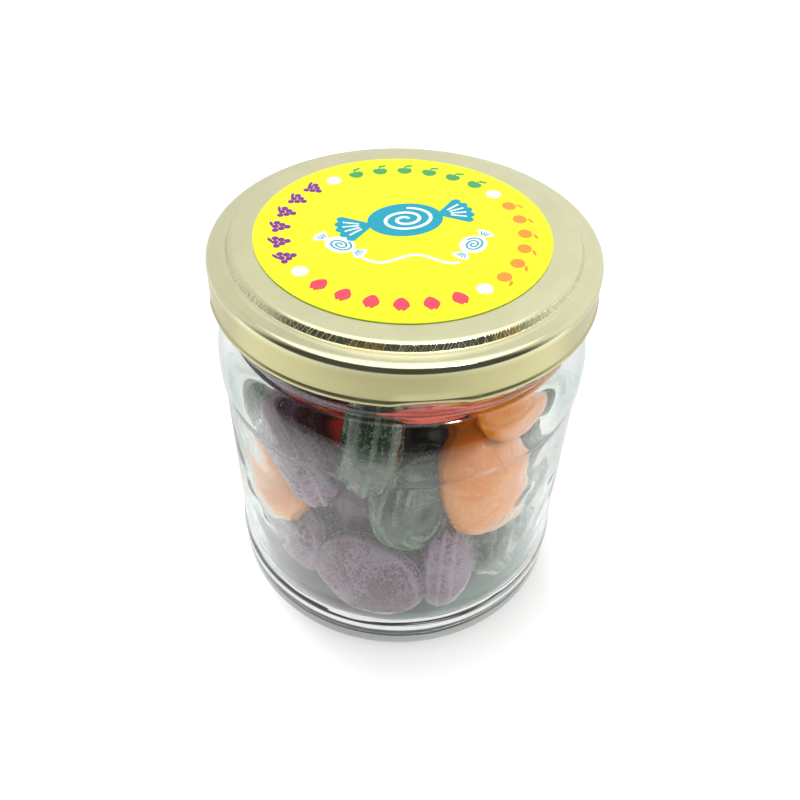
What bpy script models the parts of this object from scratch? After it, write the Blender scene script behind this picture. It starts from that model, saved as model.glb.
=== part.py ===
"""Short round glass jar of fruit-shaped boiled sweets, with a gold twist-off lid and a round paper label.

Units are metres and +Z is up. The origin is the middle of the jar's foot, and the jar's front faces -Y.
Azimuths are in degrees from the front, growing towards +X.
"""

import math
import random

import bpy
import bmesh
import numpy as np
from mathutils import Vector

MM = 0.001

# Driving dimensions of the jar and its lid, in millimetres.
JAR_RADIUS = 33.6        # shoulder band and heel band
PANEL_INSET = 0.45       # the tall plain band between them lies this much deeper
WALL = 1.8
FLOOR = 3.8              # thickness of the glass floor
HEEL_RADIUS = 4.6
FOOT_RADIUS = 28.0       # outer edge of the flat ring that the jar stands on
FOOT_WIDTH = 3.6
INNER_CORNER = 5.0       # rounding between the wall and the floor, inside
PUNT = 1.3               # how far the middle of the foot is hollowed
PANEL_LOW = 11.0
PANEL_HIGH = 50.6
SHOULDER_LOW = 54.5      # where the wall starts to curve in
SHOULDER_HIGH = 62.6     # where it meets the neck
NECK_RADIUS = 30.4
NECK_WALL = 2.7
INNER_DROP = 1.6         # how much lower the inside starts to curve in
BEAD_RADIUS = 31.9       # the ring of glass just below the lid
BEAD_MIDDLE = 65.4
RIM = 74.75
LID_RADIUS = 33.3
LID_TOP = 77.0
LID_SKIRT_LOW = 68.0
LID_PANEL_RADIUS = 29.2
LID_STEP = 1.35          # the panel stands this much above the ring round it
LID_THICKNESS = 0.5
CURL = 0.75              # radius of the rolled edge at the foot of the skirt
CURL_PROUD = 0.3         # how far the rolled edge stands out past the skirt
LUGS = 4                 # places where the rolled edge is pressed in under the thread
LUG_FRONT = 8.0          # azimuth of the first lug
LUG_HALF_ANGLE = 10.0
LUG_DEPTH = 0.9
LABEL_RADIUS = 25.0
LABEL_THICKNESS = 0.2
LABEL_SHIFT = -0.4       # the label was stuck on a little to the left
GAP = 0.3                # clearance between pieces that touch

SIDES = 56               # flat facets round every turned piece
FACET_SAG = 0.06         # the flat facets of the bore cut in by this much
SWEET_SIDES = 10
SWEET_RINGS = 6
CORE_RADIUS = 20.0

FULLNESS = 0.82          # below 1, a sweet's edge is fuller than an ellipse

# Half length, half width and half thickness of each sweet.
SWEET_SIZE = {
    "grape": (11.6, 8.7, 5.6),
    "apple": (11.2, 8.7, 5.9),
    "mandarin": (12.2, 9.9, 6.9),
    "strawberry": (11.0, 8.7, 6.2),
}

# The sweets that show through the front of the glass, each placed by eye:
# kind, azimuth, height, distance from the axis, the way its flat face looks
# (azimuth and elevation), how far its length is turned from level, and how
# firmly it keeps its place while the heap settles.
FRONT_SWEETS = (
    ("grape", -49, 41.5, 25.4, -66, -18, -28, 0.5),
    ("grape", -14, 14.3, 24.2, -24, 20, -2, 0.5),
    ("apple", 15, 32.8, 20.2, 30, 14, 78, 0.45),
    ("mandarin", 41, 37.0, 24.0, 40, 20, 82, 0.45),
    ("grape", -57, 11.5, 26.5, -61, 12, 4, 0.4),
    ("grape", 25, 15.0, 22.8, 78, 0, 80, 0.2),
    ("apple", 61, 11.5, 25.4, 63, 8, 5, 0.35),
    ("mandarin", -71, 24.0, 24.8, -75, 6, 10, 0.45),
    ("apple", -86, 43.5, 25.0, -88, 0, 78, 0.35),
    ("grape", -30, 23.5, 13.0, -26, 30, 70, 0.2),
    ("apple", -11, 50.5, 21.5, -90, 8, 87, 0.35),
    ("strawberry", -59, 43.0, 12.0, 115, 20, -50, 0.3),
    ("apple", 79, 27.0, 25.2, 80, 5, 15, 0.35),
    ("mandarin", 55, 55.0, 20.8, 60, 10, 30, 0.35),
    ("strawberry", 20, 61.0, 19.8, 18, 55, 2, 0.4),
    ("grape", -40, 62.0, 20.0, -36, 56, 0, 0.25),
)

# The other sweets: rings round the back, each with its height, the azimuth
# where it starts and its count, and a few in the middle.
BACK_RINGS = ((13.0, 112.0, 5), (28.0, 122.0, 4), (43.0, 122.0, 4), (58.0, 126.0, 3))
BACK_DISTANCE = 21.0
MIDDLE_HEIGHTS = (16.0, 38.0, 62.0)
MIDDLE_DISTANCE = 5.0
KIND_ORDER = ("strawberry", "apple", "mandarin", "grape", "mandarin", "strawberry", "grape", "apple")
SEED = 5

SETTLE_STEPS = 300
SINK = 0.02              # how far a loose sweet sinks at each step
PROBES = 160             # points on each sweet's skin that feel for its neighbours

COLOURS = {
    "glass_jar": ((0.86, 0.93, 0.91), 0.05, 0.0),
    "lid": ((0.72, 0.66, 0.42), 0.35, 1.0),
    "label": ((0.90, 0.95, 0.08), 0.55, 0.0),
    "sweets": ((0.47, 0.38, 0.33), 0.60, 0.0),
}


def clear_scene():
    for old in list(bpy.data.objects):
        bpy.data.objects.remove(old)


def finish(name):
    """The plain material of a node."""
    colour, roughness, metallic = COLOURS[name]
    material = bpy.data.materials.new(name)
    material.use_nodes = True
    shader = material.node_tree.nodes["Principled BSDF"]
    shader.inputs["Base Color"].default_value = (*colour, 1.0)
    shader.inputs["Roughness"].default_value = roughness
    shader.inputs["Metallic"].default_value = metallic
    if name == "glass_jar":
        shader.inputs["Transmission Weight"].default_value = 1.0
    return material


def arc(centre, radius, first, last, steps):
    """Points (r, z) of a round stretch, from one angle to another in degrees, both ends included."""
    points = []
    for step in range(steps + 1):
        angle = math.radians(first + (last - first) * step / steps)
        points.append((centre[0] + radius * math.cos(angle), centre[1] + radius * math.sin(angle)))
    return points


def turned(name, profile, sides=SIDES):
    """A solid turned round +Z from its outline (r, z) in millimetres, listed from its top, down its outside."""
    mesh = bmesh.new()
    points = [mesh.verts.new((r * MM, 0.0, z * MM)) for r, z in profile]
    pairs = [pair for pair in zip(points, points[1:]) if pair[0].co.x > 0.0 or pair[1].co.x > 0.0]
    edges = [mesh.edges.new(pair) for pair in pairs]
    if profile[0][0] > 0.0:
        edges.append(mesh.edges.new((points[-1], points[0])))
    bmesh.ops.spin(
        mesh,
        geom=points + edges,
        cent=(0, 0, 0),
        axis=(0, 0, 1),
        angle=math.tau,
        steps=sides,
        use_merge=True,
    )
    bmesh.ops.remove_doubles(mesh, verts=mesh.verts, dist=0.000001)
    bmesh.ops.recalc_face_normals(mesh, faces=mesh.faces)
    return linked(name, mesh)


def linked(name, mesh):
    data = bpy.data.meshes.new(name)
    mesh.to_mesh(data)
    mesh.free()
    data.shade_smooth()
    data.set_sharp_from_angle(angle=math.radians(35))
    node = bpy.data.objects.new(name, data)
    bpy.context.scene.collection.objects.link(node)
    if name in COLOURS:
        data.materials.append(finish(name))
    return node


def shoulder(neck, wide, low):
    """The stretch (r, z) that curves from the neck out to the wall, from its top down."""
    rise = SHOULDER_HIGH - SHOULDER_LOW
    turns = [math.radians(angle) for angle in range(15, 91, 15)]
    return [(neck + (wide - neck) * math.sin(turn), low + rise * math.cos(turn)) for turn in turns]


def jar_outside():
    """The outside of the glass, from the rim down to the foot."""
    panel = JAR_RADIUS - PANEL_INSET
    return [
        (NECK_RADIUS - 0.9, RIM),
        (NECK_RADIUS - 0.1, RIM - 0.8),
        (NECK_RADIUS, BEAD_MIDDLE + 2.0),
        *arc((BEAD_RADIUS - 1.1, BEAD_MIDDLE), 1.1, 65, -65, 4),
        (NECK_RADIUS, SHOULDER_HIGH + 0.6),
        *shoulder(NECK_RADIUS, JAR_RADIUS, SHOULDER_LOW),
        (JAR_RADIUS, PANEL_HIGH + 1.0),
        (panel, PANEL_HIGH - 0.6),
        (panel, PANEL_LOW + 0.6),
        (JAR_RADIUS, PANEL_LOW - 1.0),
        *arc((JAR_RADIUS - HEEL_RADIUS, HEEL_RADIUS), HEEL_RADIUS, 0, -75, 5),
        (FOOT_RADIUS, 0.0),
        (FOOT_RADIUS - FOOT_WIDTH, 0.0),
        (FOOT_RADIUS - FOOT_WIDTH - 2.0, PUNT * 0.75),
        (0.0, PUNT),
    ]


def jar_inside():
    """The inside of the glass, from the middle of the floor up to the rim."""
    bore = JAR_RADIUS - PANEL_INSET - WALL
    neck = NECK_RADIUS - NECK_WALL
    return [
        (0.0, FLOOR + 0.8),
        (bore * 0.5, FLOOR + 0.4),
        *arc((bore - INNER_CORNER, FLOOR + INNER_CORNER), INNER_CORNER, -90, 0, 5),
        *shoulder(neck, bore, SHOULDER_LOW - INNER_DROP)[::-1],
        (neck, BEAD_MIDDLE),
        (neck, RIM - 0.7),
        (neck + 0.6, RIM),
    ]


def make_jar():
    return turned("glass_jar", [*jar_outside(), *jar_inside()][::-1])


def lid_outside():
    ring = LID_TOP - LID_STEP
    shoulder = 1.5
    return [
        (0.0, LID_TOP),
        (LID_PANEL_RADIUS - 0.3, LID_TOP),
        (LID_PANEL_RADIUS + 0.1, LID_TOP - 0.2),
        (LID_PANEL_RADIUS + 0.8, ring + 0.1),
        (LID_PANEL_RADIUS + 1.2, ring),
        *arc((LID_RADIUS - shoulder, ring - shoulder), shoulder, 82, 0, 5),
        *arc((LID_RADIUS + CURL_PROUD - CURL, LID_SKIRT_LOW + CURL), CURL, 40, -170, 6),
    ]


def lid_inside():
    """The underside of the lid, from the rolled edge back up to the middle."""
    ring = LID_TOP - LID_STEP - LID_THICKNESS
    skirt = LID_RADIUS - LID_THICKNESS
    return [
        (skirt, LID_SKIRT_LOW + 2.2 * CURL),
        (skirt, ring - 1.5),
        (skirt - 0.8, ring - 0.1),
        (LID_PANEL_RADIUS + 0.7, ring),
        (LID_PANEL_RADIUS - 0.6, LID_TOP - LID_THICKNESS),
        (0.0, LID_TOP - LID_THICKNESS),
    ]


def press_lugs(lid):
    """Presses the rolled edge in at each lug."""
    for point in lid.data.vertices:
        height = point.co.z / MM - LID_SKIRT_LOW
        if height > 2.5 * CURL:
            continue
        azimuth = math.degrees(math.atan2(point.co.x, -point.co.y)) - LUG_FRONT
        spacing = 360.0 / LUGS
        from_lug = (azimuth + spacing / 2.0) % spacing - spacing / 2.0
        if abs(from_lug) > LUG_HALF_ANGLE:
            continue
        share = math.cos(math.radians(90.0 * from_lug / LUG_HALF_ANGLE)) ** 0.5
        depth = LUG_DEPTH * share * (1.0 - height / (2.5 * CURL))
        radius = math.hypot(point.co.x, point.co.y)
        keep = 1.0 - depth * MM / radius
        point.co.x *= keep
        point.co.y *= keep


def make_lid():
    lid = turned("lid", [*lid_outside(), *lid_inside()])
    press_lugs(lid)
    return lid


def make_label():
    low = LID_TOP + GAP
    high = low + LABEL_THICKNESS
    label = turned("label", [(0.0, high), (LABEL_RADIUS, high), (LABEL_RADIUS, low), (0.0, low)])
    label.data.transform(((1, 0, 0, LABEL_SHIFT * MM), (0, 1, 0, 0), (0, 0, 1, 0), (0, 0, 0, 1)))
    return label


def outward(azimuth, elevation=0.0):
    """The direction that an azimuth and an elevation name."""
    a, e = math.radians(azimuth), math.radians(elevation)
    return np.array((math.sin(a) * math.cos(e), -math.cos(a) * math.cos(e), math.sin(e)))


def turned_axes(face_azimuth, face_elevation, spin):
    """Columns are a sweet's length, width and thickness directions."""
    face = outward(face_azimuth, face_elevation)
    level = outward(face_azimuth + 90.0)
    rise = np.cross(face, level)
    s = math.radians(spin)
    length = level * math.cos(s) + rise * math.sin(s)
    width = rise * math.cos(s) - level * math.sin(s)
    return np.column_stack((length, width, face))


def placed_sweets():
    """(kind, middle, axes, hold) of every sweet, before they settle."""
    draw = random.Random(SEED)
    placed = []

    def loose(azimuth, distance, height, turn):
        kind = KIND_ORDER[len(placed) % len(KIND_ORDER)]
        middle = outward(azimuth) * distance + np.array((0.0, 0.0, height))
        placed.append((kind, middle, turned_axes(*turn), 0.0))

    for height, first, count in BACK_RINGS:
        for place in range(count):
            azimuth = first + (360.0 - 2.0 * first) * place / (count - 1)
            turn = (azimuth + draw.uniform(-25, 25), draw.uniform(-15, 45), draw.uniform(0, 180))
            loose(azimuth, BACK_DISTANCE, height, turn)
    for number, height in enumerate(MIDDLE_HEIGHTS):
        turn = (draw.uniform(0, 360), draw.uniform(10, 80), draw.uniform(0, 180))
        loose(160.0 + 137.5 * number, MIDDLE_DISTANCE, height, turn)
    for kind, azimuth, height, distance, face_azimuth, face_elevation, spin, hold in FRONT_SWEETS:
        middle = outward(azimuth) * distance + np.array((0.0, 0.0, height))
        placed.append((kind, middle, turned_axes(face_azimuth, face_elevation, spin), hold))
    return placed


def probe_directions():
    """Points spread over the skin of a sweet, as shares of its half sizes."""
    step = np.arange(PROBES) + 0.5
    z = 1.0 - 2.0 * step / PROBES
    turn = step * math.pi * (3.0 - math.sqrt(5.0))
    r = (1.0 - z * z) ** (0.5 * FULLNESS)
    return np.column_stack((r * np.cos(turn), r * np.sin(turn), z))


def room_radius(height):
    """Radius of the room inside the glass at each height."""
    bore = JAR_RADIUS - PANEL_INSET - WALL
    neck = NECK_RADIUS - NECK_WALL
    low = np.clip((FLOOR + INNER_CORNER + GAP - height) / INNER_CORNER, 0.0, 1.0)
    high = np.clip((height - SHOULDER_LOW + INNER_DROP + GAP) / (SHOULDER_HIGH - SHOULDER_LOW), 0.0, 1.0)
    cut = INNER_CORNER * (1.0 - np.sqrt(1.0 - low * low)) + (bore - neck) * (1.0 - np.sqrt(1.0 - high * high))
    return bore - GAP - FACET_SAG - cut


def contact(point_cloud, middle, inverse):
    """How deep the nearest of some points lies in a sweet, and the way out of it."""
    inside = (point_cloud - middle) @ inverse.T
    span = np.linalg.norm(inside, axis=1)
    nearest = int(span.argmin())
    slope = inverse.T @ (inside[nearest] / max(span[nearest], 0.000001))
    steep = np.linalg.norm(slope)
    return (1.0 - span[nearest]) / steep, slope / steep


def settled(placed):
    """The middles of the sweets after they have been pushed apart and off the glass."""
    start = np.array([middle for _, middle, _, _ in placed])
    middles = start.copy()
    shapes = np.array([axes * np.array(SWEET_SIZE[kind]) for kind, _, axes, _ in placed])
    inverses = np.linalg.inv(shapes)
    hold = np.array([held for _, _, _, held in placed])
    probes = np.einsum("nij,pj->npi", shapes, probe_directions())
    floor = FLOOR + 0.8 + GAP
    ceiling = LID_TOP - LID_STEP - 2.4
    for _ in range(SETTLE_STEPS):
        push = np.zeros_like(middles)
        for i, probe in enumerate(probes):
            spans = np.linalg.norm(middles - middles[i], axis=1)
            for j in np.nonzero(spans < 24.0)[0]:
                if j == i:
                    continue
                depth, way = contact(middles[i] + probe, middles[j], inverses[j])
                if depth <= 0.0:
                    continue
                way = 0.6 * way + 0.4 * (middles[i] - middles[j]) / (spans[j] + 0.000001)
                way *= 0.25 * depth / np.linalg.norm(way)
                push[i] += way
                push[j] -= way
        middles = middles + push
        middles += hold[:, None] * (start - middles)
        middles[:, 2] -= SINK * (hold == 0.0)
        points = middles[:, None] + probes
        over = np.max(np.hypot(points[:, :, 0], points[:, :, 1]) - room_radius(points[:, :, 2]), axis=1)
        from_axis = np.linalg.norm(middles[:, :2], axis=1, keepdims=True) + 0.000001
        middles[:, :2] -= np.maximum(over, 0.0)[:, None] * middles[:, :2] / from_axis
        middles[:, 2] += np.maximum(floor - points[:, :, 2].min(axis=1), 0.0)
        middles[:, 2] -= np.maximum(points[:, :, 2].max(axis=1) - ceiling, 0.0)
    return middles


def sweet_surface(kind, along, around):
    """A point of a sweet's skin, as shares of its half sizes. along runs from one face to the other."""
    z = math.cos(along)
    ring = math.sin(along) ** FULLNESS
    if kind == "mandarin":
        ring *= 1.0 + 0.03 * math.cos(5 * around)
    x, y = ring * math.cos(around), ring * math.sin(around)
    if kind == "strawberry":
        y *= 1.0 - 0.28 * x
    if kind == "apple":
        z *= 1.0 - 0.25 * (1.0 - math.sin(along)) ** 2
    return x, y, z


def make_sweet(name, kind, middle, axes):
    """One sweet with few sides."""
    size = np.array(SWEET_SIZE[kind])
    mesh = bmesh.new()

    def vertex(along, around):
        share = np.array(sweet_surface(kind, along, around))
        return mesh.verts.new(Vector((middle + axes @ (share * size)) * MM))

    top, bottom = vertex(0.0, 0.0), vertex(math.pi, 0.0)
    rings = [
        [vertex(math.pi * ring / SWEET_RINGS, math.tau * side / SWEET_SIDES) for side in range(SWEET_SIDES)]
        for ring in range(1, SWEET_RINGS)
    ]
    for side in range(SWEET_SIDES):
        after = (side + 1) % SWEET_SIDES
        mesh.faces.new((top, rings[0][side], rings[0][after]))
        mesh.faces.new((bottom, rings[-1][after], rings[-1][side]))
        for upper, lower in zip(rings, rings[1:]):
            mesh.faces.new((upper[side], lower[side], lower[after], upper[after]))
    bmesh.ops.recalc_face_normals(mesh, faces=mesh.faces)
    return linked(name, mesh)


def keep_outer_skin(mesh):
    """Fills the small hollows that the sweets shut in, by taking out the skins round them."""
    whole = bmesh.new()
    whole.from_mesh(mesh)
    loose = set(whole.verts)
    skins = []
    while loose:
        skin = {loose.pop()}
        edge = list(skin)
        while edge:
            for link in edge.pop().link_edges:
                for point in link.verts:
                    if point in loose:
                        loose.discard(point)
                        skin.add(point)
                        edge.append(point)
        skins.append(skin)
    skins.sort(key=len)
    bmesh.ops.delete(whole, geom=[point for skin in skins[:-1] for point in skin], context="VERTS")
    whole.to_mesh(mesh)
    whole.free()


def make_heap():
    """All the sweets, fused onto a plain core that fills the gaps between them."""
    placed = placed_sweets()
    middles = settled(placed)
    pieces = bpy.data.collections.new("heap_pieces")
    for number, ((kind, _, axes, _), middle) in enumerate(zip(placed, middles)):
        sweet = make_sweet(f"sweet_{number}", kind, middle, axes)
        pieces.objects.link(sweet)
        bpy.context.scene.collection.objects.unlink(sweet)
    low = FLOOR + 3.0
    high = RIM - 11.0
    edge = CORE_RADIUS - 4.0
    outline = [(0.0, high), (edge, high), (CORE_RADIUS, high - 6.0), (CORE_RADIUS, low + 4.0), (edge, low), (0.0, low)]
    core = turned("core", outline, 16)
    join = core.modifiers.new("join", "BOOLEAN")
    join.operation = "UNION"
    join.operand_type = "COLLECTION"
    join.collection = pieces
    join.solver = "MANIFOLD"
    bpy.context.view_layer.update()
    whole = bpy.data.meshes.new_from_object(core.evaluated_get(bpy.context.evaluated_depsgraph_get()))
    for piece in [core, *pieces.objects]:
        bpy.data.objects.remove(piece)
    bpy.data.collections.remove(pieces)
    keep_outer_skin(whole)
    whole.materials.clear()
    whole.materials.append(finish("sweets"))
    heap = bpy.data.objects.new("sweets", whole)
    bpy.context.scene.collection.objects.link(heap)
    return heap


clear_scene()
make_jar()
make_lid()
make_label()
make_heap()
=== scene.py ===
"""Short round glass jar of dusted fruit-shaped boiled sweets, with a gold twist-off lid and a paper label.

Sizes are in millimetres until a mesh is made. The jar stands on its foot at the origin and its front
faces -Y.
"""

import math
import random

import bmesh
import bpy
import numpy as np
from mathutils import Matrix, Vector


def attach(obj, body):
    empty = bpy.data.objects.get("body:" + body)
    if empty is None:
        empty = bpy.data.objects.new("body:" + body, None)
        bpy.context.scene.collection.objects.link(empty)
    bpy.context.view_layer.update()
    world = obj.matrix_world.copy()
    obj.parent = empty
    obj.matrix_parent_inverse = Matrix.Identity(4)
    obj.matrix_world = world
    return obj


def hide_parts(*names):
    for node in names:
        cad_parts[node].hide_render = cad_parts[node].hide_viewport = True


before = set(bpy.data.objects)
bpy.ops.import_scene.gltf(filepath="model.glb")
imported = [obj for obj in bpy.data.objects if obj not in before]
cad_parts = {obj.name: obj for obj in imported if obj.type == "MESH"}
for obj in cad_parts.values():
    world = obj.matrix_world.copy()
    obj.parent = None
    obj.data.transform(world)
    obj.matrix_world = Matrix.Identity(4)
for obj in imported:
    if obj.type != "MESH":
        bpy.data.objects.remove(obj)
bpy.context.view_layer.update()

MM = 0.001
scene = bpy.context.scene

# The turned outline of the jar.
JAR_RADIUS = 33.6
PANEL_INSET = 0.45
WALL = 1.8
FLOOR = 3.8
FLOOR_RISE = 0.8
HEEL_RADIUS = 4.6
FOOT_RADIUS = 28.0
FOOT_WIDTH = 3.6
PUNT = 1.3
INNER_CORNER = 5.0
PANEL_LOW = 11.0
PANEL_HIGH = 50.6
SHOULDER_LOW = 54.5
SHOULDER_HIGH = 62.6
INNER_DROP = 1.6
NECK_RADIUS = 30.4
NECK_WALL = 2.7
BEAD_RADIUS = 31.9
BEAD_MIDDLE = 65.4
RIM = 74.75
GLASS_RIPPLE = 0.5
RIPPLE_SCALE = 55.0

# The pressed lid.
LID_RADIUS = 33.3
LID_TOP = 77.0
LID_SKIRT_LOW = 68.0
LID_PANEL_RADIUS = 29.2
LID_STEP = 1.35
LID_BEND = 1.2
LID_THICKNESS = 0.5
CURL = 0.75
CURL_PROUD = 0.3
LUGS = 4
LUG_FRONT = 8.0
LUG_HALF_ANGLE = 10.0
LUG_DEPTH = 0.9
# Azimuths, in degrees, of the painted amber glints on the lid's step.
GLINT_SPOTS = (-100.0, -59.0)

LABEL_RADIUS = 25.0
LABEL_SHIFT = -0.4
MARK_CIRCLE = 20.4

# The studio, in metres: each lamp has a name, a place, a size, a power in watts, and whether it shows
# in reflections.
TABLE_FRONT = -0.17
TABLE_DEPTH = 1.0
TABLE_WIDTH = 1.3
LAMPS = (
    ("window", (-0.16, 0.34, 0.56), (0.30, 0.24), 2.6, False),
    ("front_lamp", (0.20, -0.22, 0.54), (0.05, 0.12), 0.9, True),
)
CAMERA_SPOT = (0.0, -0.11982, 0.15192)
CAMERA_PITCH = 0.760
CAMERA_ROLL = 0.033
CAMERA_LENS = 37.24

# How finely the meshes are cut, and the bend, in degrees, below which a corner isn't rounded.
JAR_SIDES = 240
LID_SIDES = 288
SLIGHT_BEND = 14.0


# Helpers for node trees.

def add(tree, kind, inputs=None, **settings):
    """One node, with its settings and its inputs given as values or as sockets to link."""
    made = tree.nodes.new(kind)
    for name, value in settings.items():
        setattr(made, name, value)
    for socket, value in (inputs or {}).items():
        if isinstance(value, bpy.types.NodeSocket):
            tree.links.new(value, made.inputs[socket])
        else:
            made.inputs[socket].default_value = value
    return made


def calc(operation, *values):
    """The result of a Math node."""
    tree = next(value.id_data for value in values if isinstance(value, bpy.types.NodeSocket))
    return add(tree, "ShaderNodeMath", dict(enumerate(values)), operation=operation).outputs[0]


def plus(first, second):
    return calc("ADD", first, second)


def minus(first, second):
    return calc("SUBTRACT", first, second)


def times(first, second):
    return calc("MULTIPLY", first, second)


def mix(factor, first, second):
    """One value that goes from first to second."""
    inputs = {0: factor, 2: first, 3: second}
    return add(factor.id_data, "ShaderNodeMix", inputs, data_type="FLOAT").outputs[0]


def blend(factor, first, second):
    """One colour that goes from first to second."""
    first, second = ((*tone, 1.0) if isinstance(tone, tuple) else tone for tone in (first, second))
    inputs = {0: factor, 6: first, 7: second}
    return add(factor.id_data, "ShaderNodeMix", inputs, data_type="RGBA").outputs[2]


def ramp(value, low, high, bottom=0.0, top=1.0):
    """A value that rises smoothly from bottom to top between low and high."""
    inputs = {0: value, 1: low, 2: high, 3: bottom, 4: top}
    return add(value.id_data, "ShaderNodeMapRange", inputs, interpolation_type="SMOOTHSTEP").outputs[0]


def band(value, start, full, leave, end):
    """1 between full and leave, and 0 outside start and end."""
    return times(ramp(value, start, full), ramp(value, end, leave))


def noise(where, scale, detail=2.0, roughness=0.5):
    inputs = {"Vector": where, "Scale": scale, "Detail": detail, "Roughness": roughness}
    return add(where.id_data, "ShaderNodeTexNoise", inputs).outputs["Fac"]


def cells(where, scale):
    inputs = {"Vector": where, "Scale": scale}
    return add(where.id_data, "ShaderNodeTexVoronoi", inputs, feature="F1").outputs["Distance"]


def bump(height, strength, distance, under=None):
    inputs = {"Height": height, "Strength": strength, "Distance": distance}
    if under is not None:
        inputs["Normal"] = under
    return add(height.id_data, "ShaderNodeBump", inputs).outputs[0]


def finish(name, **sockets):
    """A material, its tree and its Principled shader, with the uniform values set on the shader."""
    material = bpy.data.materials.new(name)
    material.use_nodes = True
    tree = material.node_tree
    shader = tree.nodes["Principled BSDF"]
    for socket, value in sockets.items():
        shader.inputs[socket.replace("_", " ")].default_value = value
    return material, tree, shader


def wire(shader, **sockets):
    """Links the values that vary to the shader's sockets."""
    for name, value in sockets.items():
        shader.id_data.links.new(value, shader.inputs[name.replace("_", " ")])


def place(tree):
    """Object coordinates in millimetres."""
    where = add(tree, "ShaderNodeTexCoord").outputs["Object"]
    return add(tree, "ShaderNodeVectorMath", {0: where, "Scale": 1.0 / MM}, operation="SCALE").outputs[0]


def split_up(where):
    """The x, y and z of a place."""
    return add(where.id_data, "ShaderNodeSeparateXYZ", {0: where}).outputs


def from_axis(parts):
    """How far a place is from the jar's turning axis."""
    tree = parts[0].id_data
    flat = add(tree, "ShaderNodeCombineXYZ", {0: parts[0], 1: parts[1]}).outputs[0]
    return add(tree, "ShaderNodeVectorMath", {0: flat}, operation="LENGTH").outputs["Value"]


# Materials.

def make_glass():
    """Clear moulded glass with a faint green cast. Lamps and soft light pass straight through it."""
    material, tree, shader = finish("clear_glass", Roughness=0.0, IOR=1.5, Transmission_Weight=1.0)
    facing = add(tree, "ShaderNodeLayerWeight", {"Blend": 0.5}).outputs["Facing"]
    tint = blend(ramp(facing, 0.50, 0.84), (0.942, 0.970, 0.957), (0.50, 0.62, 0.57))
    wave = bump(noise(place(tree), 0.11, 1.0), 0.35, 0.0006)
    wire(shader, Base_Color=tint, Normal=wave)
    path = add(tree, "ShaderNodeLightPath").outputs
    straight = calc("MAXIMUM", path["Is Shadow Ray"], path["Is Diffuse Ray"])
    clear = add(tree, "ShaderNodeBsdfTransparent", {"Color": (0.93, 0.965, 0.945, 1.0)})
    both = add(tree, "ShaderNodeMixShader", {0: straight, 1: shader.outputs[0], 2: clear.outputs[0]})
    tree.links.new(both.outputs[0], tree.nodes["Material Output"].inputs["Surface"])
    return material


def make_gold():
    """Pale gold lacquer on tinplate: satin on the flats, polished on the bends, crazed on the step."""
    material, tree, shader = finish("gold_lacquer", Metallic=1.0, Coat_Weight=0.25, Coat_Roughness=0.12)
    where = place(tree)
    parts = split_up(where)
    radius, height = from_axis(parts), parts[2]

    # Bands by distance from the axis and by height: the step, then the polished shoulder.
    step = band(radius, 28.8, 29.2, 30.2, 30.6)
    steep = band(radius, 29.2, 29.5, 29.9, 30.15)
    shoulder = times(ramp(radius, 30.4, 31.2), ramp(height, 74.2, 74.9))
    polish = calc("MAXIMUM", step, shoulder)

    cloud = noise(where, 0.16, 3.0, 0.6)
    grain = noise(where, 2.6, 2.0, 0.6)
    base = blend(cloud, (0.70, 0.69, 0.42), (0.78, 0.77, 0.50))
    base = blend(times(grain, 0.25), base, (0.62, 0.58, 0.33))
    # Painted shade: the skirt below the shoulder is darker and more golden, standing in for the dim
    # reflections it shows.
    base = blend(ramp(height, 75.0, 73.4, 0.0, 0.75), base, (0.50, 0.455, 0.20))
    rough = minus(ramp(cloud, 0.3, 0.7, 0.29, 0.36), times(polish, 0.2))

    # Crazing: short slanting cracks that cross on the bent metal. Each set has its slant, its stretch
    # across the step, its place in the noise and its strength.
    turn = times(calc("ARCTAN2", parts[1], parts[0]), 29.5)
    cracks = 0.0
    for slant, across, seed, strength in ((0.95, 0.09, 0.0, 1.0), (-0.6, 0.15, 40.0, 0.5)):
        along = plus(turn, times(radius, slant))
        spot = {0: along, 1: times(radius, across), 2: seed}
        line = add(tree, "ShaderNodeCombineXYZ", spot).outputs[0]
        scratch = ramp(noise(line, 3.4, 1.0, 0.5), 0.54, 0.64)
        cracks = calc("MAXIMUM", cracks, times(scratch, strength))
    crazed = times(cracks, steep)

    # Painted glints: two stretches of the step given an amber colour and a rougher finish, which stand in for
    # amber reflections.
    painted_glint = 0.0
    for middle in GLINT_SPOTS:
        side = (math.cos(math.radians(middle)), math.sin(math.radians(middle)))
        near = plus(times(parts[0], side[0]), times(parts[1], side[1]))
        spot = ramp(calc("DIVIDE", near, radius), 0.992, 0.999)
        painted_glint = calc("MAXIMUM", painted_glint, spot)
    painted_glint = times(painted_glint, times(steep, ramp(cracks, 0.0, 1.0, 0.45, 1.0)))
    crazing_and_glint = calc("MAXIMUM", crazed, painted_glint)

    lined = bump(crazed, 0.5, 0.00008)
    dents = bump(noise(where, 0.09, 1.0), 0.07, 0.0006, lined)
    wire(
        shader,
        Base_Color=blend(painted_glint, base, (0.86, 0.56, 0.22)),
        Roughness=plus(rough, times(crazing_and_glint, 0.34)),
        Normal=bump(grain, 0.06, 0.0001, dents),
    )
    return material


def make_ink(name, colour):
    """Printed colour on satin paper."""
    material, tree, shader = finish(name, Specular_IOR_Level=0.35)
    where = place(tree)
    fibre = noise(where, 5.0, 2.0, 0.7)
    dark = tuple(0.92 * share for share in colour)
    wire(
        shader,
        Base_Color=blend(noise(where, 0.3, 3.0, 0.6), dark, colour),
        Roughness=ramp(fibre, 0.3, 0.7, 0.38, 0.52),
        Normal=bump(fibre, 0.12, 0.00004),
    )
    return material


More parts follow.
